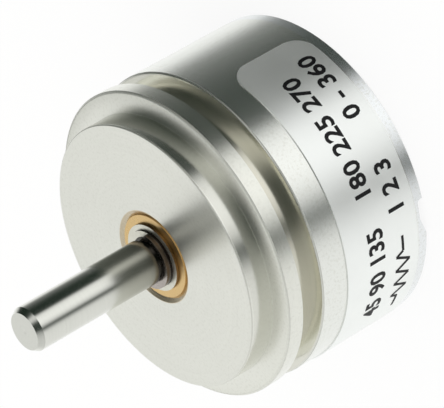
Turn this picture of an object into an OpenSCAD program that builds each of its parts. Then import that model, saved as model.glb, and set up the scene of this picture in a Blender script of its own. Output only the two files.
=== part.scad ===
// Servo-mount rotary potentiometer, single turn, with a plain shaft.
// Millimetres. The origin is on the shaft axis in the plane of the mounting face, +Z runs out along the shaft.

/* [Housing] */
// Outside diameter of the flange and of the body behind it
housing_d = 22.225; // [21.6:0.025:26]
// Length from the mounting face back to the rear rim
housing_len = 12.4; // [12:0.05:16]
// Wall of the cup beside the cavity
wall_t = 1.65; // [1.3:0.05:1.8]
// Front wall, from the pilot face to the floor of the cavity
front_wall_t = 3.4; // [3.1:0.05:3.7]
// Height of the bearing boss inside the front wall
boss_h = 1.3; // [0.8:0.05:1.5]
// Wall of the bearing boss round the bush
boss_wall = 1.5; // [1:0.05:2.2]
// Break on the outer corner of the rear rim
rim_chamfer = 0.08; // [0.03:0.01:0.2]

/* [Pilot] */
// Diameter of the pilot that centres the part
pilot_d = 19.05; // [17.5:0.05:20]
// Height of the pilot above the mounting face
pilot_h = 1.8; // [1.6:0.05:2.2]
// Chamfer on the front edge of the pilot
pilot_chamfer = 0.06; // [0.04:0.01:0.4]

/* [Flange and groove] */
// Thickness of the servo flange
flange_t = 1.2; // [0.9:0.05:1.5]
// Chamfer on the front edge of the flange
flange_chamfer = 0.1; // [0.04:0.01:0.4]
// Width of the clamping groove behind the flange
groove_w = 1.8; // [1.2:0.05:2.2]
// Depth of the clamping groove
groove_depth = 1.15; // [0.8:0.05:1.2]
// Chamfer where the body begins behind the groove
body_chamfer = 0.1; // [0.04:0.01:0.3]

/* [Index notch] */
// Length of the notch along the rear rim
notch_len = 2.8; // [2:0.1:3.4]
// Depth of the notch at its steep end
notch_depth = 0.52; // [0.3:0.01:0.7]
// Radius in the corner at the steep end
notch_corner = 0.3; // [0.1:0.05:0.4]
// Length of the level floor before the ramp
notch_floor = 1.1; // [0.6:0.1:1.6]
// Angle of the steep end about the axis
notch_angle = -119.3; // [-140:0.1:-100]

/* [Terminal opening] */
// Half of the angle of the opening in the wall
slot_half_angle = 33; // [31:0.5:38]
// Angle of the middle of the opening about the axis
slot_angle = 90; // [85:1:95]

/* [Shaft] */
// Diameter of the shaft
shaft_d = 3.175; // [3:0.025:3.4]
// Reach of the shaft in front of the mounting face
shaft_reach = 12.85; // [8:0.05:20]
// Width of the chamfer on the tip of the shaft, along the radius
tip_chamfer = 0.25; // [0.05:0.01:0.4]
// Length of that chamfer, along the shaft
tip_chamfer_len = 0.4; // [0.1:0.01:0.6]
// Depth of the centre mark in the tip
centre_depth = 0.03; // [0.02:0.01:0.2]
// Radius of the centre mark in the tip
centre_r = 0.2; // [0.1:0.01:0.4]
// Depth of the groove for the retaining ring
ring_groove_depth = 0.2; // [0.12:0.01:0.3]
// Radial clearance of the shaft in its bushes
running_clearance = 0.02; // [0.01:0.005:0.03]
// End play of the rotor at each thrust face
end_play = 0.02; // [0.01:0.005:0.04]

/* [Bushes] */
// Wall of the front bush
bush_wall = 1.39; // [1.2:0.01:1.6]
// Depth of the bush face below the pilot face
bush_recess = 0.1; // [0.02:0.01:0.15]
// Height of the bush above its boss inside
bush_proud = 0.2; // [0.1:0.01:0.3]
// Width of the countersink round the bush in the pilot face
countersink_w = 0.36; // [0.2:0.01:0.6]
// Depth of the countersink round the bush
countersink_depth = 0.26; // [0.15:0.01:0.6]
// Wall of the rear bush
rear_bush_wall = 0.95; // [0.7:0.01:1.2]
// Length of the rear bush
rear_bush_len = 1.6; // [1.2:0.05:1.8]
// Chamfer at the mouth of each bush
bush_chamfer = 0.12; // [0.05:0.01:0.2]

/* [Washers and retaining ring] */
// Outside diameter of the front washer
washer_d = 4.82; // [4.4:0.01:5.4]
// Thickness of the front washer
washer_t = 0.2; // [0.12:0.01:0.24]
// Radial clearance of washers and collars on the shaft
slip_clearance = 0.03; // [0.01:0.005:0.06]
// Outside diameter of the spacer between washer and retaining ring
spacer_d = 4.08; // [3.8:0.01:4.4]
// Thickness of that spacer
spacer_t = 0.18; // [0.1:0.01:0.24]
// How far the retaining ring stands out from the shaft
ring_proud = 0.45; // [0.3:0.01:0.6]
// Thickness of the retaining ring
ring_t = 0.32; // [0.24:0.01:0.4]
// Width of the retaining ring's groove
ring_groove_w = 0.56; // [0.5:0.01:0.7]
// Distance from the axis of the straight cut across the open side of the retaining ring
ring_cut = 1.29; // [1.1:0.01:1.35]
// Direction of that open side
ring_gap_at = 8; // [-180:1:180]
// Outside diameter of the inner thrust washer
thrust_d = 5.6; // [5:0.05:6.4]
// Thickness of the inner thrust washer
thrust_t = 0.2; // [0.1:0.01:0.3]

/* [Wiper carrier] */
// Wall of the carrier's hub on the shaft
hub_wall = 1.25; // [1:0.05:1.5]
// Share of the room between bush and element that lies in front of the disc
hub_front_share = 0.47; // [0.44:0.01:0.5]
// Thickness of the carrier disc
carrier_t = 0.9; // [0.7:0.05:1.1]
// Length of the hub behind the disc, as a share of the room there
hub_rear_share = 0.35; // [0.2:0.01:0.45]
// Gap between the carrier disc and the cavity wall
carrier_gap = 0.7; // [0.5:0.05:0.9]
// Rim left outside the windows of the carrier
window_rim = 0.7; // [0.5:0.05:1]
// Web left round the hub inside the windows
window_web = 0.9; // [0.6:0.05:1.2]
// Angle of each window
window_angle = 56; // [30:1:70]

/* [Clamp collar] */
// Wall of the collar round the hub
collar_wall = 1.2; // [0.9:0.05:1.5]
// Length of the collar, as a share of the hub in front of the disc
collar_share = 0.82; // [0.7:0.01:0.88]
// Diameter of the set screw, as a share of the collar's length
screw_share = 0.7; // [0.55:0.01:0.75]
// Width across the flats of the screw's socket, as a share of its diameter
socket_share = 0.5; // [0.4:0.01:0.6]
// How deep the screw stands below the collar
screw_sunk = 0.1; // [0.05:0.01:0.3]

/* [Resistance element] */
// Thickness of the element disc
element_t = 0.8; // [0.6:0.05:1]
// Radial clearance of the element disc in the cavity
element_clearance = 0.05; // [0.03:0.01:0.1]
// Bare margin outside the resistance track
track_margin = 0.75; // [0.6:0.05:1]
// Width of the resistance track
track_w = 1.4; // [1.2:0.05:1.6]
// Thickness of the printed films
film_t = 0.05; // [0.03:0.01:0.08]
// Angle of the resistance track
track_angle = 340; // [330:1:345]
// Angle of each end pad
pad_angle = 6; // [4:0.5:7]
// Bare gap between the track and the collector ring
ring_space = 1; // [0.8:0.05:1.2]
// Width of the collector ring
collector_w = 1.1; // [0.9:0.05:1.3]

/* [Wipers] */
// Thickness of the wiper spring sheet
spring_t = 0.1; // [0.06:0.01:0.14]
// Width of one wiper finger
finger_w = 0.2; // [0.12:0.01:0.24]
// Space between two wiper fingers
finger_space = 0.1; // [0.06:0.01:0.14]
// Fingers on the resistance track
track_fingers = 4; // [2:1:4]
// Fingers on the collector ring
collector_fingers = 3; // [2:1:3]
// Length of the sloping part of a finger
finger_len = 3.2; // [2.6:0.1:3.8]
// Radius of the curled contact at a finger's end
contact_r = 0.3; // [0.2:0.01:0.4]
// Length of the tab under the rivet
tab_len = 1.7; // [1.4:0.1:2]
// Lift of a contact off its track
contact_lift = 0.02; // [0.01:0.005:0.03]
// Diameter of a wiper rivet
rivet_d = 0.7; // [0.5:0.05:0.8]
// Diameter of a rivet's heads
rivet_head_d = 1.15; // [1:0.05:1.2]
// Height of a rivet's heads
rivet_head_h = 0.18; // [0.1:0.01:0.25]

/* [Terminal board and cover] */
// Thickness of the terminal board under the element
board_t = 1.4; // [1.3:0.05:1.6]
// Step from the board's top down to the web that joins its block
web_step = 0.1; // [0.05:0.01:0.2]
// Clearance of the terminal block in the opening of the housing
block_clearance = 0.08; // [0.04:0.01:0.15]
// Height of the terminal block from the board's underside
block_h = 2; // [1.9:0.05:2.1]
// Thickness of the rear cover
cover_t = 1.1; // [0.9:0.05:1.3]
// Step by which the cover is wider than the cavity
cover_step = 0.6; // [0.4:0.05:0.8]
// Thickness of the rolled lip behind the cover
lip_t = 0.3; // [0.2:0.02:0.4]
// Reach of the rolled lip over the cover
lip_reach = 0.35; // [0.2:0.05:0.5]
// Floor of the cover behind the shaft
cover_floor = 0.4; // [0.3:0.02:0.5]
// Space between that floor and the end of the shaft
shaft_end_space = 0.1; // [0.06:0.01:0.2]
// Wall of the cover's boss round the rear bush
cover_boss_wall = 0.9; // [0.7:0.05:1.1]
// Clearance between the cover's boss and the board
boss_clearance = 0.1; // [0.05:0.01:0.2]

/* [Terminals] */
// Angle between neighbouring terminals
terminal_pitch = 22; // [20:0.5:23]
// Reach of a terminal outside the housing
terminal_reach = 3.9; // [3:0.1:5]
// Diameter of a terminal's post
post_d = 0.9; // [0.7:0.05:1]
// Diameter of a terminal's collars
collar_d = 1.5; // [1.3:0.05:1.6]
// Thickness of a terminal's collars
turret_collar_t = 0.35; // [0.25:0.05:0.5]
// Depth of a terminal's shank in the block
shank_len = 2; // [1.6:0.1:2.2]
// Width of the strap inside the board
strap_w = 0.6; // [0.4:0.05:0.8]
// Thickness of the strap inside the board
strap_t = 0.25; // [0.2:0.05:0.35]
// Diameter of the contact pins through the element
pin_d = 0.5; // [0.4:0.05:0.6]

/* [Label] */
// Distance from the mounting face to the front edge of the label
label_from = 5.15; // [4:0.05:6]
// Width of the label along the axis
label_w = 6.35; // [4:0.05:6.5]
// Thickness of the label film
label_t = 0.08; // [0.05:0.01:0.15]
// Angle at which the label starts
label_start = -45.5; // [-60:0.5:-30]
// Angle that the label covers
label_angle = 176; // [120:1:178]
// Radius of the label's corners
label_corner = 1.6; // [0.5:0.1:2]

/* [Hidden] */
$fn = 96;
// overlap of a cutter past the face that it cuts
cut = 0.5;

housing_r = housing_d / 2;
pilot_r = pilot_d / 2;
shaft_r = shaft_d / 2;
groove_r = housing_r - groove_depth;
cavity_r = housing_r - wall_t;
body_front_z = -flange_t - groove_w;
floor_z = pilot_h - front_wall_t;
boss_z = floor_z - boss_h;
rear_z = -housing_len;
ramp_len = notch_len - notch_corner - notch_floor;

bush_bore_r = shaft_r + running_clearance;
bush_r = bush_bore_r + bush_wall;
bush_face_z = pilot_h - bush_recess;
bush_rear_z = boss_z - bush_proud;
boss_r = bush_r + boss_wall;

slip_r = shaft_r + slip_clearance;
washer_z = bush_face_z + end_play;
spacer_z = washer_z + washer_t;
ring_z = spacer_z + spacer_t;
ring_groove_r = shaft_r - ring_groove_depth;
ring_groove_play = 0.02;
ring_groove_front_z = ring_z - ring_groove_play + ring_groove_w;

cover_r = cavity_r + cover_step;
lip_z = rear_z + lip_t;
cover_z = lip_z + cover_t;
board_z = cover_z + board_t;
element_z = board_z + element_t;
track_z = element_z + film_t;

thrust_z = bush_rear_z - end_play;
hub_z = thrust_z - thrust_t;
hub_r = shaft_r + hub_wall;
hub_front_len = (hub_z - track_z - carrier_t) * hub_front_share;
carrier_z = hub_z - hub_front_len;
carrier_rear_z = carrier_z - carrier_t;
hub_rear_z = carrier_rear_z - (carrier_rear_z - track_z) * hub_rear_share;
carrier_r = cavity_r - carrier_gap;
collar_len = hub_front_len * collar_share;
screw_d = collar_len * screw_share;
socket_w = screw_d * socket_share;
socket_depth = socket_w;

element_r = cavity_r - element_clearance;
track_outer_r = element_r - track_margin;
track_inner_r = track_outer_r - track_w;
track_mid_r = (track_outer_r + track_inner_r) / 2;
collector_outer_r = track_inner_r - ring_space;
collector_inner_r = collector_outer_r - collector_w;
collector_mid_r = (collector_outer_r + collector_inner_r) / 2;
gap_half_angle = (360 - track_angle) / 2;

rear_bush_r = bush_bore_r + rear_bush_wall;
rear_bush_z = lip_z + cover_floor;
rear_bush_top = rear_bush_z + rear_bush_len;
cover_boss_r = rear_bush_r + cover_boss_wall;
board_bore_r = cover_boss_r + boss_clearance;
shaft_end_z = rear_bush_z + shaft_end_space;

block_top_z = cover_z + block_h;
web_z = board_z - web_step;
terminal_z = cover_z + block_h / 2;
block_r = housing_r - block_clearance;
block_half_angle = slot_half_angle - asin(block_clearance / cavity_r);
shank_in_r = block_r - shank_len;
post_r = post_d / 2;
strap_top_z = terminal_z + strap_t / 2;
label_rear_z = -label_from - label_w;

// Solid of revolution between two radii and two heights, over an angle about the axis.
module ring_sector(inner_r, outer_r, low_z, high_z, angle = 360) {
    rotate_extrude(angle = angle)
        polygon([[inner_r, low_z], [outer_r, low_z], [outer_r, high_z], [inner_r, high_z]]);
}

// Half section of the turned cup: pilot, flange, groove, body, cover seat, rolled lip, cavity and boss.
module housing_section() {
    polygon([
        [bush_r, boss_z], [bush_r, pilot_h - countersink_depth], [bush_r + countersink_w, pilot_h],
        [pilot_r - pilot_chamfer, pilot_h], [pilot_r, pilot_h - pilot_chamfer], [pilot_r, 0],
        [housing_r - flange_chamfer, 0], [housing_r, -flange_chamfer], [housing_r, -flange_t],
        [groove_r, -flange_t], [groove_r, body_front_z], [housing_r - body_chamfer, body_front_z],
        [housing_r, body_front_z - body_chamfer], [housing_r, rear_z + rim_chamfer],
        [housing_r - rim_chamfer, rear_z], [cover_r - lip_reach, rear_z], [cover_r - lip_reach, lip_z],
        [cover_r, lip_z], [cover_r, cover_z], [cavity_r, cover_z], [cavity_r, floor_z],
        [boss_r, floor_z], [boss_r, boss_z]]);
}

module housing() {
    color("#c9cac6") difference() {
        rotate_extrude() housing_section();
        rotate([0, 0, slot_angle - slot_half_angle])
            ring_sector(cavity_r - wall_t, housing_r + cut, rear_z - cut, block_top_z + block_clearance,
                2 * slot_half_angle);
        index_notch();
    }
}

// Notch in the rear rim, seen from outside: a steep end, a corner radius, a level floor and a ramp.
module index_notch() {
    corner = [for (step = [0:4]) let (swing = 90 * step / 4)
        [notch_corner * (1 - cos(swing)), notch_depth - notch_corner * (1 - sin(swing))]];
    rotate([0, 0, notch_angle])
        translate([cover_r - lip_reach - cut, 0, rear_z])
            rotate([90, 0, 90]) mirror([1, 0, 0]) linear_extrude(wall_t + cut + cut)
                polygon(concat([[0, -cut]], corner, [[notch_corner + notch_floor, notch_depth],
                    [notch_len + ramp_len * cut / notch_depth, -cut]]));
}

// Sleeve with a chamfered mouth at each end of its bore.
module bush(outer_r, low_z, high_z) {
    rotate_extrude() polygon([
        [bush_bore_r + bush_chamfer, low_z], [outer_r, low_z], [outer_r, high_z],
        [bush_bore_r + bush_chamfer, high_z], [bush_bore_r, high_z - bush_chamfer],
        [bush_bore_r, low_z + bush_chamfer]]);
}

module front_bush() {
    color("#c98f4a") bush(bush_r, bush_rear_z, bush_face_z);
}

module rear_bush() {
    color("#c98f4a") bush(rear_bush_r, rear_bush_z, rear_bush_top);
}

// Moulded disc under the rolled lip, with a boss and a blind pocket for the rear bush.
module rear_cover() {
    color("#2b2d2c") rotate_extrude() polygon([
        [0, lip_z], [cover_r, lip_z], [cover_r, cover_z], [cover_boss_r, cover_z],
        [cover_boss_r, rear_bush_top], [rear_bush_r, rear_bush_top], [rear_bush_r, rear_bush_z],
        [0, rear_bush_z]]);
}

// Moulded board that seats the element, with a block that fills the opening in the housing wall.
module terminal_board() {
    color("#3a4a3c") difference() {
        union() {
            ring_sector(board_bore_r, element_r, cover_z, board_z);
            rotate([0, 0, slot_angle - block_half_angle])
                rotate_extrude(angle = 2 * block_half_angle) polygon([
                    [element_r - cut, cover_z], [cover_r + block_clearance, cover_z],
                    [cover_r + block_clearance, rear_z], [block_r, rear_z], [block_r, block_top_z],
                    [cavity_r + block_clearance, block_top_z], [cavity_r + block_clearance, web_z],
                    [element_r - cut, web_z]]);
        }
        for (place = [-1, 0, 1]) {
            terminal_strap(place);
            rotate([0, 0, slot_angle + place * terminal_pitch]) translate([0, 0, terminal_z])
                rotate([0, 90, 0]) translate([0, 0, shank_in_r]) cylinder(d = post_d, h = shank_len + cut);
        }
        contact_pin_set();
    }
}

module element_disc() {
    color("#e7e2d2") difference() {
        ring_sector(board_bore_r, element_r, board_z, element_z);
        contact_pin_set();
    }
}

module resistance_track() {
    color("#1d1b1a")
        rotate([0, 0, slot_angle + gap_half_angle])
            ring_sector(track_inner_r, track_outer_r, element_z, track_z, track_angle);
}

module end_pads() {
    color("#c8ccd0")
        for (start = [gap_half_angle - pad_angle, -gap_half_angle])
            rotate([0, 0, slot_angle + start])
                ring_sector(track_inner_r, track_outer_r, element_z, track_z, pad_angle);
}

module collector_ring() {
    color("#d6b25a") ring_sector(collector_inner_r, collector_outer_r, element_z, track_z);
}

// Angle of the contact pin of a terminal, measured from the middle of the opening.
function pin_angle(place) = place * (gap_half_angle - pad_angle / 2);
function pin_at_r(place) = place == 0 ? collector_mid_r : track_mid_r;

module contact_pin_set() {
    for (place = [-1, 0, 1])
        rotate([0, 0, slot_angle + pin_angle(place)])
            translate([pin_at_r(place), 0, strap_top_z])
                cylinder(d = pin_d, h = element_z - strap_top_z);
}

module contact_pins() {
    color("#c8ccd0") contact_pin_set();
}

// Flat strap inside the board, from the shank of a terminal to its contact pin.
module terminal_strap(place) {
    turn = place * terminal_pitch;
    pin_x = pin_at_r(place) * cos(pin_angle(place) - turn);
    pin_y = pin_at_r(place) * sin(pin_angle(place) - turn);
    start_x = shank_in_r + strap_w / 2;
    run = norm([start_x - pin_x, pin_y]);
    rotate([0, 0, slot_angle + turn]) translate([start_x, 0, terminal_z - strap_t / 2])
        rotate([0, 0, atan2(pin_y, pin_x - start_x)]) {
            translate([0, -strap_w / 2, 0]) cube([run, strap_w, strap_t]);
            translate([run, 0, 0]) cylinder(d = strap_w, h = strap_t);
        }
}

// Turned turret on a radial axis with its shank in the block.
module terminal_metal(place) {
    outer_end = housing_r + terminal_reach;
    mid_r = housing_r + terminal_reach / 2;
    edge = turret_collar_t / 3;
    rotate([0, 0, slot_angle + place * terminal_pitch])
        translate([0, 0, terminal_z]) rotate([0, 90, 0]) rotate_extrude() polygon([
            [0, shank_in_r], [post_r, shank_in_r], [post_r, block_r], [collar_d / 2, block_r],
            [collar_d / 2, block_r + turret_collar_t], [post_r, block_r + turret_collar_t],
            [post_r, mid_r], [collar_d / 2, mid_r], [collar_d / 2, mid_r + turret_collar_t],
            [post_r, mid_r + turret_collar_t], [post_r, outer_end - turret_collar_t],
            [collar_d / 2, outer_end - turret_collar_t], [collar_d / 2, outer_end - edge],
            [collar_d / 2 - edge, outer_end], [0, outer_end]]);
    terminal_strap(place);
}

module terminal_1() {
    color("#d6b25a") terminal_metal(-1);
}

module terminal_2() {
    color("#d6b25a") terminal_metal(0);
}

module terminal_3() {
    color("#d6b25a") terminal_metal(1);
}

// Film wrapped round the body, its corners rounded by radial cutters.
module label() {
    // the corner cutters stand a little outside the film's edges, so that they cross its end faces cleanly
    corner_lap = 0.01;
    corner_angle = asin((label_corner - corner_lap) / (housing_r + label_t));
    reach = label_corner + cut;
    color("#f4f4f2") difference() {
        rotate([0, 0, label_start - label_angle])
            ring_sector(housing_r, housing_r + label_t, label_rear_z, -label_from, label_angle);
        for (end = [1, -1]) for (edge = [1, -1])
            rotate([0, 0, label_start - (end > 0 ? 0 : label_angle) - end * corner_angle])
                translate([housing_r / 2, 0,
                    (edge > 0 ? -label_from : label_rear_z) - edge * (label_corner - corner_lap)])
                    difference() {
                        translate([0, end > 0 ? 0 : -reach, edge > 0 ? 0 : -reach]) cube([housing_r, reach, reach]);
                        rotate([0, 90, 0]) cylinder(r = label_corner, h = housing_r);
                    }
    }
}

// Ground shaft with a chamfered tip, a centre mark and the groove of the retaining ring.
module shaft() {
    color("#b9bab6") rotate_extrude() polygon([
        [0, shaft_end_z], [shaft_r - tip_chamfer, shaft_end_z], [shaft_r, shaft_end_z + tip_chamfer],
        [shaft_r, ring_z - ring_groove_play], [ring_groove_r, ring_z - ring_groove_play],
        [ring_groove_r, ring_groove_front_z], [shaft_r, ring_groove_front_z],
        [shaft_r, shaft_reach - tip_chamfer_len], [shaft_r - tip_chamfer, shaft_reach],
        [centre_r, shaft_reach], [0, shaft_reach - centre_depth]]);
}

module front_washer() {
    color("#d9dad6") ring_sector(slip_r, washer_d / 2, washer_z, spacer_z);
}

module spacer_washer() {
    color("#8e8d88") ring_sector(slip_r, spacer_d / 2, spacer_z, ring_z);
}

// Open ring of flat wire, sprung into the shaft's groove. A straight cut ends it on its open side.
module retaining_ring() {
    ring_r = shaft_r + ring_proud;
    color("#6f6c66") rotate([0, 0, ring_gap_at]) difference() {
        ring_sector(ring_groove_r, ring_r, ring_z, ring_z + ring_t);
        translate([ring_cut, -ring_r, ring_z - cut]) cube([ring_r, 2 * ring_r, ring_t + 2 * cut]);
    }
}

module thrust_washer() {
    color("#d9dad6") ring_sector(slip_r, thrust_d / 2, hub_z, thrust_z);
}

// Moulded hub and disc, with four windows and the hole of the set screw.
module wiper_carrier() {
    window_in = hub_r + window_web;
    window_out = carrier_r - window_rim;
    color("#26282b") difference() {
        union() {
            ring_sector(shaft_r, hub_r, hub_rear_z, hub_z);
            ring_sector(shaft_r, carrier_r, carrier_rear_z, carrier_z);
        }
        for (side = [0, 90, 180, 270])
            rotate([0, 0, side + 45 - window_angle / 2])
                ring_sector(window_in, window_out, carrier_rear_z - cut, carrier_z + cut, window_angle);
        screw_hole();
        for (side = [0, 1]) rivet_at(side) cylinder(d = rivet_d, h = carrier_t + 2 * cut, center = true);
    }
}

collar_top_z = hub_z - (hub_front_len - collar_len) / 2;
collar_low_z = collar_top_z - collar_len;
collar_outer_r = hub_r + collar_wall;

module screw_hole() {
    translate([0, 0, (collar_top_z + collar_low_z) / 2])
        rotate([0, 90, 0]) translate([0, 0, shaft_r / 2])
            cylinder(d = screw_d, h = shaft_r / 2 + hub_wall + collar_wall + cut);
}

module clamp_collar() {
    color("#c7a24a") difference() {
        ring_sector(hub_r, collar_outer_r, collar_low_z, collar_top_z);
        screw_hole();
    }
}

// Set screw with a flat point on the shaft and a hexagon socket.
module clamp_screw() {
    screw_len = hub_wall + collar_wall - screw_sunk;
    color("#7c7f83") translate([0, 0, (collar_top_z + collar_low_z) / 2]) rotate([0, 90, 0])
        translate([0, 0, shaft_r]) difference() {
            cylinder(d = screw_d, h = screw_len);
            translate([0, 0, screw_len - socket_depth])
                cylinder(d = socket_w / cos(30), h = socket_depth + cut, $fn = 6);
        }
}

// A wiper seen from its side: flat tab, sloping finger and curled contact.
finger_drop = carrier_rear_z - spring_t / 2 - track_z - contact_lift;
slope_drop = finger_drop - spring_t / 2;
slope_angle = asin(slope_drop / norm([finger_len, slope_drop]));
curl_steps = 6;
function finger_line() = concat(
    [[0, 0], [finger_len, -slope_drop + contact_r * (1 - cos(slope_angle))]],
    [for (step = [1:curl_steps])
        let (swing = -slope_angle + step * (slope_angle + 60) / curl_steps)
        [finger_len + contact_r * (sin(swing) + sin(slope_angle)), -slope_drop + contact_r * (1 - cos(swing))]]);

module finger_section() {
    line = finger_line();
    last = len(line) - 1;
    normals = [for (i = [0:last])
        let (before = line[max(0, i - 1)], after = line[min(last, i + 1)], run = after - before)
        [-run[1], run[0]] / norm(run)];
    polygon(concat(
        [for (i = [0:last]) line[i] + normals[i] * spring_t / 2],
        [for (i = [last:-1:0]) line[i] - normals[i] * spring_t / 2]));
}

// Fingers side by side on one tab, laid along the tangent at the middle radius.
module wiper_spring(mid_r, fingers) {
    tab_w = fingers * finger_w + (fingers - 1) * finger_space;
    translate([mid_r, 0, carrier_rear_z - spring_t / 2]) {
        difference() {
            translate([-tab_w / 2, -tab_len, -spring_t / 2]) cube([tab_w, tab_len, spring_t]);
            translate([0, -tab_len / 2, 0]) cylinder(d = rivet_d, h = spring_t + cut, center = true);
        }
        for (i = [0:fingers - 1])
            translate([-tab_w / 2 + i * (finger_w + finger_space), 0, 0])
                rotate([90, 0, 90]) linear_extrude(finger_w) finger_section();
    }
}

// The two wipers stand opposite each other, each rivet through the middle of its tab.
module rivet_at(side) {
    rotate([0, 0, side * 180])
        translate([side == 0 ? track_mid_r : collector_mid_r, -tab_len / 2, (carrier_z + carrier_rear_z) / 2])
            children();
}

module track_wiper() {
    color("#d6b25a") wiper_spring(track_mid_r, track_fingers);
}

module collector_wiper() {
    color("#d6b25a") rotate([0, 0, 180]) wiper_spring(collector_mid_r, collector_fingers);
}

module wiper_rivets() {
    grip = carrier_t + spring_t;
    color("#c7a24a") for (side = [0, 1]) rivet_at(side)
        translate([0, 0, -carrier_t / 2 - spring_t]) {
            translate([0, 0, -rivet_head_h]) cylinder(d = rivet_head_d, h = rivet_head_h);
            cylinder(d = rivet_d, h = grip);
            translate([0, 0, grip]) cylinder(d = rivet_head_d, h = rivet_head_h);
        }
}

housing();
front_bush();
rear_bush();
rear_cover();
terminal_board();
element_disc();
resistance_track();
end_pads();
collector_ring();
contact_pins();
terminal_1();
terminal_2();
terminal_3();
label();
shaft();
front_washer();
spacer_washer();
retaining_ring();
thrust_washer();
wiper_carrier();
clamp_collar();
clamp_screw();
track_wiper();
collector_wiper();
wiper_rivets();
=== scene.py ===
import math

import bmesh
import bpy
from mathutils import Matrix, Vector


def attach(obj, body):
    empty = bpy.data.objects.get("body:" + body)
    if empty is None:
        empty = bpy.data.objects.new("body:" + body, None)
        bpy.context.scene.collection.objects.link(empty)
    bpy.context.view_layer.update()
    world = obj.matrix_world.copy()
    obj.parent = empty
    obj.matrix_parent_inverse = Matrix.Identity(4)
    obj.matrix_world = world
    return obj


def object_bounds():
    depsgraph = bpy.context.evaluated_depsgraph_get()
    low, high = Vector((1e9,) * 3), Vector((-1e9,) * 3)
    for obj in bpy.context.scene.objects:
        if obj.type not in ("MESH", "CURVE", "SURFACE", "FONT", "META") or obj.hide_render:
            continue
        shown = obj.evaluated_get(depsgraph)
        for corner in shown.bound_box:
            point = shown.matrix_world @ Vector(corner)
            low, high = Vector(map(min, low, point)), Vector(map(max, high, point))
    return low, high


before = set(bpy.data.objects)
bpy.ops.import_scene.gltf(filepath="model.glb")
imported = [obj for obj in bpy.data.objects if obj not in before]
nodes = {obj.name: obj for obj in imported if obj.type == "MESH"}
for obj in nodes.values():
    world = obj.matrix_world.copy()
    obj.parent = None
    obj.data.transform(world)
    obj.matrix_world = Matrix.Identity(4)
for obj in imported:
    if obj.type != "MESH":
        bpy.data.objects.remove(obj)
cad_box = [list(corner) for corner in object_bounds()]

# Turned case
# One cup turned from aluminium bar, with pilot, flange, clamping groove and body in one piece, then clear
# anodised. The lathe leaves fine rings on its faces and round its sides, and the finish is silky.
MM = 0.001
# In millimetres, with heights from the mounting face.
body_r = 11.1125
pilot_r = 9.525
pilot_top = 1.8
countersink_r = 3.36
groove_front = -1.2
groove_back = -3.0
rear_band_front = -11.5


def srgb(red, green, blue):
    """A colour given in 0 to 255, as the linear values that a shader takes."""
    out = []
    for value in (red, green, blue):
        value = value / 255
        out.append(value / 12.92 if value <= 0.04045 else ((value + 0.055) / 1.055) ** 2.4)
    return (*out, 1.0)


def new_material(name):
    mat = bpy.data.materials.new(name)
    mat.use_nodes = True
    tree = mat.node_tree
    return mat, tree, tree.nodes["Principled BSDF"]


def add(tree, kind, inputs=(), **settings):
    """One node with its settings and its inputs, each a value or the socket that feeds it."""
    made = tree.nodes.new(kind)
    for name, value in settings.items():
        setattr(made, name, value)
    for key, value in dict(inputs).items():
        if isinstance(value, bpy.types.NodeSocket):
            tree.links.new(value, made.inputs[key])
        else:
            made.inputs[key].default_value = value
    return made


def math_node(tree, operation, first, second=0.0, third=0.0):
    return add(tree, "ShaderNodeMath", {0: first, 1: second, 2: third}, operation=operation).outputs[0]


def times(tree, first, second):
    return math_node(tree, "MULTIPLY", first, second)


def blend_colours(tree, factor, first, second):
    return add(tree, "ShaderNodeMix", {0: factor, 6: first, 7: second}, data_type="RGBA").outputs[2]


def span(tree, value, low, high, to_low=0.0, to_high=1.0):
    """Follows the value from low to high as to_low to to_high, and stays there outside."""
    return add(tree, "ShaderNodeMapRange",
               {0: value, 1: low, 2: high, 3: to_low, 4: to_high}, clamp=True).outputs[0]


def between(tree, value, low, high, soft):
    return times(tree, span(tree, value, low - soft, low + soft),
                 span(tree, value, high - soft, high + soft, 1.0, 0.0))


def object_position(tree):
    return add(tree, "ShaderNodeTexCoord").outputs["Object"]


def noise(tree, place, per_metre, detail):
    return add(tree, "ShaderNodeTexNoise", {"Vector": place, "Scale": per_metre, "Detail": detail}).outputs[0]


def facing_axis(tree):
    """How far the surface faces along the shaft: 1 on a flat face and 0 on a side."""
    normal = add(tree, "ShaderNodeNewGeometry").outputs["Normal"]
    return math_node(tree, "ABSOLUTE", add(tree, "ShaderNodeSeparateXYZ", {0: normal}).outputs[2])


def distance_from_axis(tree, parts):
    flat = add(tree, "ShaderNodeCombineXYZ", {0: parts[0], 1: parts[1]}).outputs[0]
    return add(tree, "ShaderNodeVectorMath", {0: flat}, operation="LENGTH").outputs["Value"]


def radius_and_height(tree):
    """How far the shaded point lies from the axis and how high, in millimetres."""
    place = add(tree, "ShaderNodeVectorMath", {0: object_position(tree), "Scale": 1 / MM},
                operation="SCALE").outputs[0]
    parts = add(tree, "ShaderNodeSeparateXYZ", {0: place}).outputs
    return distance_from_axis(tree, parts), parts[2]


def bump(tree, shader, height, strength, depth_mm):
    made = add(tree, "ShaderNodeBump", {"Strength": strength, "Distance": depth_mm * MM, "Height": height})
    tree.links.new(made.outputs[0], shader.inputs["Normal"])


def wear(node, mat):
    node = nodes[node]
    node.data.materials.clear()
    node.data.materials.append(mat)


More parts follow.
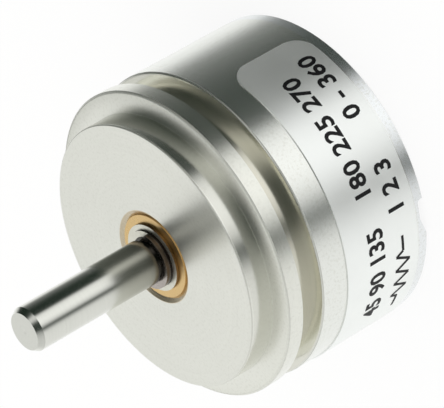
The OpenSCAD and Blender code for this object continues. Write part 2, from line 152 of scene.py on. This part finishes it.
def build_turning_rings():
    """Rings about the Z axis: noise that is fine along the radius and the axis, and long round the turn."""
    group = bpy.data.node_groups.new("turning_rings", "ShaderNodeTree")
    face = group.interface
    face.new_socket("Position", in_out="INPUT", socket_type="NodeSocketVector")
    for name, value in (("Rings per mm", 6.0), ("Stretch", 0.5)):
        face.new_socket(name, in_out="INPUT", socket_type="NodeSocketFloat").default_value = value
    for name in ("Rings", "Cloud"):
        face.new_socket(name, in_out="OUTPUT", socket_type="NodeSocketFloat")
    enter = group.nodes.new("NodeGroupInput")
    leave = group.nodes.new("NodeGroupOutput")
    parts = add(group, "ShaderNodeSeparateXYZ", {0: enter.outputs["Position"]}).outputs
    turn = math_node(group, "ARCTAN2", parts[1], parts[0])
    rings = times(group, enter.outputs["Rings per mm"], 1 / MM)
    place = add(group, "ShaderNodeCombineXYZ", {
        0: times(group, distance_from_axis(group, parts), rings),
        1: times(group, parts[2], rings),
        2: times(group, math_node(group, "SINE", turn), enter.outputs["Stretch"])}).outputs[0]
    group.links.new(noise(group, place, 1.0, 2.0), leave.inputs["Rings"])
    group.links.new(noise(group, enter.outputs["Position"], 260.0, 3.0), leave.inputs["Cloud"])
    return group


turning_rings = build_turning_rings()


def turned_metal(name, light, dark, rough, face_rough, rings_per_mm, depth_mm, metallic=1.0):
    """Bare or anodised metal off the lathe, in two near tones, its faces a little duller than its sides."""
    mat, tree, shader = new_material(name)
    marks = tree.nodes.new("ShaderNodeGroup")
    marks.node_tree = turning_rings
    tree.links.new(object_position(tree), marks.inputs["Position"])
    marks.inputs["Rings per mm"].default_value = rings_per_mm
    tone = math_node(tree, "ADD", times(tree, marks.outputs["Rings"], 0.6),
                     times(tree, marks.outputs["Cloud"], 0.4))
    tree.links.new(blend_colours(tree, span(tree, tone, 0.3, 0.7), dark, light), shader.inputs["Base Color"])
    flat = span(tree, facing_axis(tree), 0.8, 0.95, rough, face_rough)
    cloudy = span(tree, marks.outputs["Cloud"], 0.3, 0.7, 0.94, 1.06)
    tree.links.new(times(tree, flat, cloudy), shader.inputs["Roughness"])
    bump(tree, shader, marks.outputs["Rings"], 0.5, depth_mm)
    shader.inputs["Metallic"].default_value = metallic
    return mat


def lay_over(mat, mask, finish):
    """Where the mask is 1, the finish takes the place of what feeds its sockets."""
    tree = mat.node_tree
    for socket, value in finish.items():
        entry = tree.nodes["Principled BSDF"].inputs[socket]
        under = entry.links[0].from_socket if entry.is_linked else entry.default_value
        if socket == "Base Color":
            over = blend_colours(tree, mask, under, value)
        else:
            over = add(tree, "ShaderNodeMix", {0: mask, 2: under, 3: value}, data_type="FLOAT").outputs[0]
        tree.links.new(over, entry)


def finish_cuts(mat, radius, height, flatness, level):
    """Each cut of the tool has its own sheen, and the flange's front, the body and the rear band their own
    tone. The pilot's side and the groove get darker colours, which are painted shade. The later ones lie over
    the earlier ones.
    """
    tree = mat.node_tree
    grain = noise(tree, object_position(tree), 5000.0, 2.0)
    flange_front = times(tree, between(tree, height, -0.05, 0.05, 0.02),
                         span(tree, radius, pilot_r + 0.015, pilot_r + 0.055))
    lay_over(mat, flange_front, {"Roughness": span(tree, radius, 9.6, 10.9, 0.3, 0.5),
                                 "Base Color": srgb(245, 245, 237),
                                 "Metallic": span(tree, radius, 9.56, 10.9, 0.97, 0.9)})
    # Painted shade: the pilot's side gets a darker colour, for the dark corner by the flange that it mirrors.
    pilot_side = times(tree, between(tree, height, 0.05, pilot_top - 0.18, 0.02),
                       span(tree, radius, 8.0, 9.0))
    lay_over(mat, pilot_side, {"Roughness": 0.15, "Base Color": srgb(225, 225, 217),
                               "Metallic": span(tree, height, 0.9, 1.3, 1.0, 0.95)})
    pilot_face = span(tree, height, pilot_top - 0.14, pilot_top - 0.12)
    lay_over(mat, pilot_face, {"Roughness": 0.29, "Metallic": 0.92})
    body = span(tree, height, groove_back - 0.06, groove_back - 0.1)
    lay_over(mat, body, {"Base Color": srgb(241, 242, 237)})
    rear_band = span(tree, height, rear_band_front, rear_band_front - 0.2)
    lay_over(mat, rear_band, {"Base Color": srgb(243, 245, 246)})
    broken_edge = times(tree, between(tree, flatness, 0.6, 0.8, 0.05), span(tree, radius, 4.0, 4.1))
    lay_over(mat, broken_edge, {"Roughness": 0.5})
    groove = between(tree, height, groove_back - 0.04, groove_front, 0.01)
    lay_over(mat, groove, {"Roughness": 0.16})
    # Painted shade: the groove's floor gets a darker, yellower colour, as the recess lies in shade.
    groove_floor_shade = times(tree, groove, span(tree, flatness, 0.5, 0.4))
    lay_over(mat, groove_floor_shade, {"Base Color": srgb(221, 218, 204)})
    # Round the countersink's edge by the bush, the colour turns patchily browner and the metal less metallic.
    countersink_edge = times(tree, span(tree, radius, countersink_r + 0.06, countersink_r), span(tree, height, 1.3, 1.4))
    countersink_edge_patches = times(tree, countersink_edge, span(tree, grain, 0.3, 0.7, 0.75, 1.0))
    lay_over(mat, countersink_edge_patches, {"Base Color": srgb(214, 198, 168)})
    lay_over(mat, countersink_edge, {"Metallic": 0.8})
    dull_grains = span(tree, grain, 0.5, 0.75, 0.0, 0.35)
    lay_over(mat, dull_grains, {"Base Color": srgb(214, 213, 203)})
    # Painted shade: the groove's rear wall gets a darker colour.
    groove_wall_shade = times(tree, level, between(tree, height, groove_back - 0.1, groove_back + 0.1, 0.02))
    lay_over(mat, groove_wall_shade, {"Base Color": srgb(231, 230, 220)})


def soften_edges(mat, radius, height, level):
    """The finishing cut lets the flat faces fall away towards their outer edges, here in millimetres."""
    tree = mat.node_tree
    pilot_edge = times(tree, span(tree, radius, pilot_r - 0.075, pilot_r + 0.005), 0.03)
    crown = times(tree, math_node(tree, "POWER", span(tree, radius, 10.0, 11.2, 0.0, 1.2), 2.0), 0.085)
    rim_edge = times(tree, span(tree, radius, 10.94, 11.34), span(tree, height, -2.0, -1.4, 0.05, 0.17))
    fall = math_node(tree, "ADD", math_node(tree, "ADD", pilot_edge, crown), rim_edge)
    normal = tree.nodes["Principled BSDF"].inputs["Normal"]
    softened = add(tree, "ShaderNodeBump", {"Strength": 1.0, "Distance": MM,
                                            "Height": times(tree, fall, times(tree, level, -1.0)),
                                            "Normal": normal.links[0].from_socket})
    tree.links.new(softened.outputs[0], normal)


def anodised_case():
    mat = turned_metal("anodised_aluminium", srgb(239, 239, 231), srgb(233, 233, 225), 0.21, 0.35, 5.0,
                       0.0008, metallic=0.955)
    tree = mat.node_tree
    radius, height = radius_and_height(tree)
    flatness = facing_axis(tree)
    level = span(tree, flatness, 0.9, 0.95)
    finish_cuts(mat, radius, height, flatness, level)
    soften_edges(mat, radius, height, level)
    return mat


wear("housing", anodised_case())

# Bushes
# Sintered bronze sleeves, one pressed into the front wall with its face just below the pilot's, and one in
# the rear cover. The metal is porous and holds oil, so it is matt, with fine dark pores.


def sintered_bronze():
    mat, tree, shader = new_material("sintered_bronze")
    place = object_position(tree)
    pores = add(tree, "ShaderNodeTexVoronoi", {"Vector": place, "Scale": 9000.0}).outputs["Distance"]
    cloud = noise(tree, place, 900.0, 4.0)
    base = blend_colours(tree, cloud, srgb(224, 189, 130), srgb(234, 202, 146))
    pore = times(tree, span(tree, pores, 0.05, 0.25, 1.0, 0.0), 0.4)
    tree.links.new(blend_colours(tree, pore, base, srgb(150, 104, 52)), shader.inputs["Base Color"])
    tree.links.new(span(tree, cloud, 0.3, 0.7, 0.26, 0.34), shader.inputs["Roughness"])
    bump(tree, shader, pores, 0.25, 0.006)
    shader.inputs["Metallic"].default_value = 1.0
    return mat


bronze = sintered_bronze()
wear("front_bush", bronze)
wear("rear_bush", bronze)

# Shaft
# Stainless steel rod, ground to size between centres, with a chamfered tip. Near the bush its colour is
# darkened as painted shade, darkest in the ring's groove, and the painted shade fades out towards the tip.
# The painted shade as heights in millimetres, each with the share of the base colour that it keeps.
shaft_painted_shade = [(1.5, 1.0), (2.0, 0.14), (2.66, 0.14), (2.8, 0.24), (3.0, 0.42), (3.2, 0.54), (3.6, 0.66),
            (4.0, 0.72), (4.6, 0.78), (5.5, 0.87), (6.5, 1.0)]


def colour_ramp(tree, factor, stops):
    """Colours along the factor, each stop a place from 0 to 1 and its colour."""
    made = tree.nodes.new("ShaderNodeValToRGB")
    points = made.color_ramp.elements
    while len(points) < len(stops):
        points.new(0.5)
    for point, (place, colour) in zip(points, stops):
        point.position = place
        point.color = colour
    tree.links.new(factor, made.inputs[0])
    return made.outputs[0]


def shaded_ground_steel():
    mat = turned_metal("ground_steel", srgb(228, 228, 221), srgb(222, 222, 215), 0.16, 0.3, 11.0, 0.0006)
    tree = mat.node_tree
    start = shaft_painted_shade[0][0]
    end = shaft_painted_shade[-1][0]
    stops = [((at - start) / (end - start), (left, left * (0.96 + 0.04 * left), left * (0.9 + 0.1 * left), 1))
             for at, left in shaft_painted_shade]
    # Painted shade: the base colour is multiplied down near the bush and in the ring's groove.
    painted_shade = colour_ramp(tree, span(tree, radius_and_height(tree)[1], start, end), stops)
    base = tree.nodes["Principled BSDF"].inputs["Base Color"]
    shaded_base = add(tree, "ShaderNodeMix", {0: 1.0, 6: base.links[0].from_socket, 7: painted_shade}, data_type="RGBA",
                 blend_type="MULTIPLY")
    tree.links.new(shaded_base.outputs[2], base)
    return mat


wear("shaft", shaded_ground_steel())

# Washers and retaining ring
# A stamped washer turns with the shaft on the bush, then a smaller spacer, and an open ring of flat spring
# wire in the shaft's groove holds both. A plain thrust washer runs behind the bush. The front washer's rim is
# painted dark brown as shade, which the bush's face mirrors, and the spacer's rim near-black as the shade in
# the gap between the washer and the ring.


def dark_rimmed_steel(name, dark, light, face=srgb(242, 240, 228), face_dull=srgb(228, 226, 212), rough=0.4):
    """Stamped from strip, with both faces bright and the rim dark. On the front washer and the spacer the
    rim's dark colour is painted shade.
    """
    mat, tree, shader = new_material(name)
    cloud = noise(tree, object_position(tree), 3000.0, 3.0)
    rim = span(tree, facing_axis(tree), 0.5, 0.8, 1.0, 0.0)
    bright = blend_colours(tree, cloud, face, face_dull)
    black = blend_colours(tree, cloud, dark, light)
    tree.links.new(blend_colours(tree, rim, bright, black), shader.inputs["Base Color"])
    tree.links.new(span(tree, cloud, 0.3, 0.7, rough - 0.04, rough + 0.04), shader.inputs["Roughness"])
    shader.inputs["Metallic"].default_value = 1.0
    return mat


wear("thrust_washer", turned_metal("stamped_steel", srgb(240, 238, 226), srgb(232, 230, 216), 0.22, 0.36,
                                   14.0, 0.001))
# The front washer's dark brown rim is painted shade, which the bush's face mirrors.
wear("front_washer", dark_rimmed_steel("washer_steel", srgb(128, 105, 74), srgb(162, 138, 102)))
# The spacer's near-black rim is painted shade of the gap between the washer and the ring.
wear("spacer_washer", dark_rimmed_steel("spacer_steel", srgb(34, 29, 26), srgb(54, 46, 42)))
wear("retaining_ring", dark_rimmed_steel("tempered_wire", srgb(88, 82, 80), srgb(120, 113, 110),
                                         srgb(196, 188, 182), srgb(168, 160, 154), 0.24))

# Label
# A satin silver-white polyester film with rounded corners, stuck round the body. It is printed in black:
# plain numbers, a range and the sign of a resistor.
film_t = 0.08
label_r = (body_r + film_t) * MM
ink_t = 0.012
bend_step = 0.15
front_line = -7.9
rear_line = -10.1


def label_film():
    mat, tree, shader = new_material("label_film")
    place = object_position(tree)
    cloud = span(tree, noise(tree, place, 420.0, 4.0), 0.3, 0.7)
    tree.links.new(blend_colours(tree, cloud, srgb(246, 248, 246), srgb(250, 252, 250)),
                   shader.inputs["Base Color"])
    tree.links.new(span(tree, cloud, 0.0, 1.0, 0.3, 0.36), shader.inputs["Roughness"])
    bump(tree, shader, noise(tree, place, 6000.0, 2.0), 0.15, 0.01)
    shader.inputs["Metallic"].default_value = 0.78
    return mat


wear("label", label_film())


def printing_ink():
    mat, tree, shader = new_material("printing_ink")
    cloud = noise(tree, object_position(tree), 2500.0, 3.0)
    tree.links.new(blend_colours(tree, cloud, srgb(4, 4, 6), srgb(18, 18, 20)), shader.inputs["Base Color"])
    tree.links.new(span(tree, cloud, 0.3, 0.7, 0.45, 0.6), shader.inputs["Roughness"])
    shader.inputs["Specular IOR Level"].default_value = 0.3
    return mat


ink = printing_ink()


def wrap_on_label(name, mesh, azimuth, height):
    """Bends a flat mark, made in millimetres with Z as its thickness, round the label.

    The azimuth is that of its middle, in degrees from the side that faces the camera."""
    bm = bmesh.new()
    bm.from_mesh(mesh)
    bmesh.ops.remove_doubles(bm, verts=bm.verts, dist=1e-5)
    low = min(v.co.x for v in bm.verts)
    high = max(v.co.x for v in bm.verts)
    cut_at = low + bend_step
    while cut_at < high:
        bmesh.ops.bisect_plane(bm, geom=bm.verts[:] + bm.edges[:] + bm.faces[:], dist=1e-6,
                               plane_co=(cut_at, 0, 0), plane_no=(1, 0, 0))
        cut_at += bend_step
    middle = (low + high) / 2
    for v in bm.verts:
        turn = math.radians(azimuth - 90) + (v.co.x - middle) * MM / label_r
        radius = label_r + v.co.z * MM
        v.co = Vector((radius * math.cos(turn), radius * math.sin(turn), height * MM + v.co.y * MM))
    bmesh.ops.recalc_face_normals(bm, faces=bm.faces)
    mesh.clear_geometry()
    bm.to_mesh(mesh)
    bm.free()
    obj = bpy.data.objects.new(name, mesh)
    bpy.context.scene.collection.objects.link(obj)
    obj.data.materials.append(ink)
    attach(obj, "case")


def print_words(name, words, azimuth, height):
    curve = bpy.data.curves.new(name, "FONT")
    curve.body = words
    curve.size = 1.85
    curve.offset = 0.045
    curve.space_character = 1.03
    curve.extrude = ink_t
    curve.resolution_u = 3
    curve.align_y = "CENTER"
    text = bpy.data.objects.new(name + "_text", curve)
    bpy.context.scene.collection.objects.link(text)
    bpy.context.view_layer.update()
    mesh = bpy.data.meshes.new_from_object(text.evaluated_get(bpy.context.evaluated_depsgraph_get()))
    bpy.data.objects.remove(text)
    wrap_on_label(name, mesh, azimuth, height)


def print_line(name, points, width, azimuth, height):
    """A line through the points, each stroke of it a thin closed bar."""
    bm = bmesh.new()
    for (x0, y0), (x1, y1) in zip(points, points[1:]):
        run = Vector((x1 - x0, y1 - y0, 0))
        side = Vector((-run.y, run.x, 0)).normalized() * width / 2
        ends = (Vector((x0, y0, 0)), Vector((x1, y1, 0)))
        ring = [ends[0] + side, ends[0] - side, ends[1] - side, ends[1] + side]
        low = [bm.verts.new(p + Vector((0, 0, -ink_t))) for p in ring]
        high = [bm.verts.new(p + Vector((0, 0, ink_t))) for p in ring]
        bm.faces.new(high)
        bm.faces.new(low[::-1])
        for i in range(4):
            bm.faces.new((low[i], low[(i + 1) % 4], high[(i + 1) % 4], high[i]))
    mesh = bpy.data.meshes.new(name)
    bm.to_mesh(mesh)
    bm.free()
    wrap_on_label(name, mesh, azimuth, height)


print_words("print_scale_low", "45 90 135", -50, front_line)
print_words("print_scale_high", "180 225 270", 6, front_line)
print_words("print_terminals", "1 2 3", -19, rear_line)
print_words("print_range", "0 - 360", 20.6, rear_line)
zigzag = [(-3.3, 0), (-2.1, 0), (-1.8, 0.6), (-1.2, -0.6), (-0.6, 0.6), (0, -0.6), (0.6, 0.6), (1.2, -0.6),
          (1.8, 0.6), (2.1, 0), (3.3, 0)]
print_line("print_resistor_sign", zigzag, 0.2, -55, rear_line)

# Rear cover
# A disc moulded in black thermoset, with a boss that holds the rear bush. It drops into the seat of the
# case, and the case's rolled lip holds it.


def moulded_plastic(name, light, dark, rough, grain_mm):
    mat, tree, shader = new_material(name)
    place = object_position(tree)
    cloud = noise(tree, place, 300.0, 4.0)
    grain = noise(tree, place, 1.0 / (grain_mm * MM), 3.0)
    tree.links.new(blend_colours(tree, span(tree, cloud, 0.3, 0.7), dark, light), shader.inputs["Base Color"])
    tree.links.new(span(tree, grain, 0.3, 0.7, rough - 0.06, rough + 0.06), shader.inputs["Roughness"])
    bump(tree, shader, grain, 0.3, 0.02)
    return mat


wear("rear_cover", moulded_plastic("cover_thermoset", srgb(58, 58, 57), srgb(42, 42, 41), 0.5, 0.15))

# Terminal board
# Moulded in glass-filled green thermoset. It lies on the rear cover, and its block fills the opening in the
# case's side and holds the terminals.
wear("terminal_board", moulded_plastic("board_thermoset", srgb(74, 92, 76), srgb(56, 72, 58), 0.48, 0.12))

# Terminals
# Three turrets turned from brass, gold plated for soldering, with their shanks pressed into the block.
# Silvered pins join their straps to the element's pads through the disc.
terminal_gold = turned_metal("plated_gold", srgb(244, 212, 134), srgb(232, 196, 112), 0.22, 0.28, 9.0, 0.001)
for terminal in ("terminal_1", "terminal_2", "terminal_3"):
    wear(terminal, terminal_gold)
silvered = turned_metal("silvered_film", srgb(226, 226, 222), srgb(204, 204, 200), 0.35, 0.4, 7.0, 0.001)
wear("contact_pins", silvered)
wear("end_pads", silvered)

# Resistance element
# A pressed ceramic disc on the terminal board. A carbon track is printed on it and baked, and a plated
# collector ring lies inside the track.
wear("element_disc", moulded_plastic("pressed_ceramic", srgb(232, 227, 212), srgb(218, 212, 196), 0.7, 0.08))
wear("resistance_track", moulded_plastic("printed_carbon", srgb(44, 42, 40), srgb(26, 25, 24), 0.4, 0.1))
wear("collector_ring", turned_metal("collector_plating", srgb(236, 200, 120), srgb(214, 176, 96), 0.28, 0.32,
                                    8.0, 0.001))

# Rotor inside the case
# A moulded carrier on the shaft, clamped by a turned brass collar and its steel set screw. Two brass rivets
# hold the wipers, which are stamped from spring alloy.
wear("wiper_carrier", moulded_plastic("carrier_plastic", srgb(60, 62, 66), srgb(42, 44, 47), 0.45, 0.14))
collar_brass = turned_metal("turned_brass", srgb(226, 190, 112), srgb(204, 166, 90), 0.26, 0.32, 7.0, 0.002)
wear("clamp_collar", collar_brass)
wear("wiper_rivets", collar_brass)
wear("clamp_screw", turned_metal("screw_steel", srgb(132, 134, 138), srgb(96, 98, 102), 0.3, 0.36, 10.0,
                                 0.002))
spring_alloy = turned_metal("spring_alloy", srgb(236, 204, 132), srgb(214, 180, 108), 0.24, 0.28, 6.0, 0.001)
wear("track_wiper", spring_alloy)
wear("collector_wiper", spring_alloy)

# Table
# The part stands on its rear rim on a plain white table. The table shows only the part's soft shadow, and
# the bright metal doesn't mirror it.
table_half = 3.0
table_z = cad_box[0][2]


def table_white():
    mat = bpy.data.materials.new("table_white")
    mat.use_nodes = True
    tree = mat.node_tree
    tree.nodes.clear()
    seen = add(tree, "ShaderNodeLightPath").outputs
    matt = add(tree, "ShaderNodeBsdfDiffuse", {"Color": (0.93, 0.93, 0.92, 1)}).outputs[0]
    glow = add(tree, "ShaderNodeEmission", {"Color": (1, 1, 1, 1), "Strength": 1.0}).outputs[0]
    clear = add(tree, "ShaderNodeBsdfTransparent").outputs[0]
    shown = add(tree, "ShaderNodeMixShader",
                {0: times(tree, seen["Is Camera Ray"], 0.86), 1: matt, 2: glow}).outputs[0]
    final = add(tree, "ShaderNodeMixShader", {0: seen["Is Glossy Ray"], 1: shown, 2: clear}).outputs[0]
    add(tree, "ShaderNodeOutputMaterial", {"Surface": final})
    return mat


table_mesh = bpy.data.meshes.new("table")
table_mesh.from_pydata([(-table_half, -table_half, table_z), (table_half, -table_half, table_z),
                        (table_half, table_half, table_z), (-table_half, table_half, table_z)],
                       [], [(0, 1, 2, 3)])
table_mesh.materials.append(table_white())
table = bpy.data.objects.new("table", table_mesh)
bpy.context.scene.collection.objects.link(table)

# Studio
# A white room that lights the part evenly from all round, a little more from the front left. What the
# bright metal mirrors is a ring of light and dark walls, with one pattern below and one above.
# Each pattern holds directions, in degrees from the camera's side and positive to +X, with the brightness.
walls_below = [(-180, 0.98), (-156, 0.96), (-138, 0.92), (-120, 0.895), (-96, 0.895), (-74, 0.88),
               (-60, 0.85), (-52, 0.79), (-45, 0.60), (-38, 0.32), (-33, 0.15), (-28, 0.17), (-22, 0.46),
               (-16, 0.75), (-8, 0.95), (2, 1.06), (12, 1.06), (24, 1.0), (32, 0.84), (38, 0.50),
               (43, 0.13), (48, 0.045), (58, 0.03), (74, 0.028), (90, 0.062), (106, 0.135), (118, 0.23),
               (126, 0.42), (134, 0.74), (142, 0.93), (156, 1.0), (180, 0.98)]
walls_above = [(-180, 0.87), (-164, 0.89), (-152, 0.83), (-136, 0.77), (-112, 0.72), (-88, 0.70), (-72, 0.65),
               (-60, 0.57), (-50, 0.48), (-42, 0.34), (-34, 0.15), (-27, 0.06), (-14, 0.045), (4, 0.06),
               (12, 0.18), (18, 0.36), (25, 0.62), (32, 0.74), (42, 0.74), (50, 0.48), (57, 0.22), (64, 0.08),
               (76, 0.03), (100, 0.02), (120, 0.035), (132, 0.07), (142, 0.22), (152, 0.46), (164, 0.70),
               (180, 0.87)]
ceiling = [(-180, 0.88), (36, 0.88), (58, 0.7), (76, 0.58), (112, 0.58), (140, 0.7), (160, 0.88), (180, 0.88)]


def mirrored_room(tree, way):
    """What a mirror shows in the direction: the walls below or above, and the ceiling overhead."""
    parts = add(tree, "ShaderNodeSeparateXYZ", {0: way}).outputs
    turn = math_node(tree, "ARCTAN2", parts[0], times(tree, parts[1], -1.0))
    share = math_node(tree, "MULTIPLY_ADD", turn, 1 / (2 * math.pi), 0.5)
    below, above, overhead = (
        colour_ramp(tree, share, [(degrees / 360 + 0.5, (level - 0.004, level + 0.007, level, 1))
                                  for degrees, level in pattern])
        for pattern in (walls_below, walls_above, ceiling))
    walls = blend_colours(tree, span(tree, parts[2], -0.12, 0.12), below, above)
    return blend_colours(tree, span(tree, parts[2], 0.82, 0.95), walls, overhead)


def light_studio():
    """Matt surfaces get the soft light, mirrors get the patterned room, and the camera sees plain white."""
    world = bpy.data.worlds.new("studio")
    bpy.context.scene.world = world
    world.use_nodes = True
    world.cycles.sampling_method = "NONE"
    tree = world.node_tree
    tree.nodes.clear()
    seen = add(tree, "ShaderNodeLightPath").outputs
    way = add(tree, "ShaderNodeTexCoord").outputs["Generated"]
    toward = add(tree, "ShaderNodeVectorMath", {0: way, 1: (-0.75, -0.45, 0.48)},
                 operation="DOT_PRODUCT").outputs["Value"]
    soft = span(tree, toward, -1.0, 1.0, 0.55, 1.35)
    room = add(tree, "ShaderNodeBackground", {"Color": (1.0, 0.995, 0.98, 1), "Strength": soft}).outputs[0]
    pattern = mirrored_room(tree, way)
    mirrored = add(tree, "ShaderNodeBackground", {"Color": pattern, "Strength": 1.0}).outputs[0]
    white = add(tree, "ShaderNodeBackground", {"Color": (1, 1, 1, 1), "Strength": 1.0}).outputs[0]
    glossy = math_node(tree, "MAXIMUM", seen["Is Glossy Ray"], seen["Is Transmission Ray"])
    lit = add(tree, "ShaderNodeMixShader", {0: glossy, 1: room, 2: mirrored}).outputs[0]
    final = add(tree, "ShaderNodeMixShader", {0: seen["Is Camera Ray"], 1: lit, 2: white}).outputs[0]
    add(tree, "ShaderNodeOutputWorld", {"Surface": final})


light_studio()

# Camera
# A long lens 263 mm from the part, in front of it and 30 degrees above the table, rolled so that the shaft
# points down to the left.
camera_at = Vector((0, -226.69, 133.35)) * MM
camera_aim = Vector((0.767, 0, -4.775)) * MM
camera_roll = math.radians(-119.997)
picture_w = 444
lens_in_pixels = 4000

camera_data = bpy.data.cameras.new("camera")
camera_data.sensor_width = 36.0
camera_data.lens = camera_data.sensor_width * lens_in_pixels / picture_w
camera_data.clip_start = 0.01
camera_data.clip_end = 20.0
camera = bpy.data.objects.new("camera", camera_data)
bpy.context.scene.collection.objects.link(camera)
back = (camera_at - camera_aim).normalized()
right = Vector((0, 0, 1)).cross(back).normalized()
level = Matrix((right, back.cross(right), back)).transposed().to_4x4()
camera.matrix_world = Matrix.Translation(camera_at) @ level @ Matrix.Rotation(camera_roll, 4, "Z")
bpy.context.scene.camera = camera

bpy.context.scene.view_settings.view_transform = "Standard"
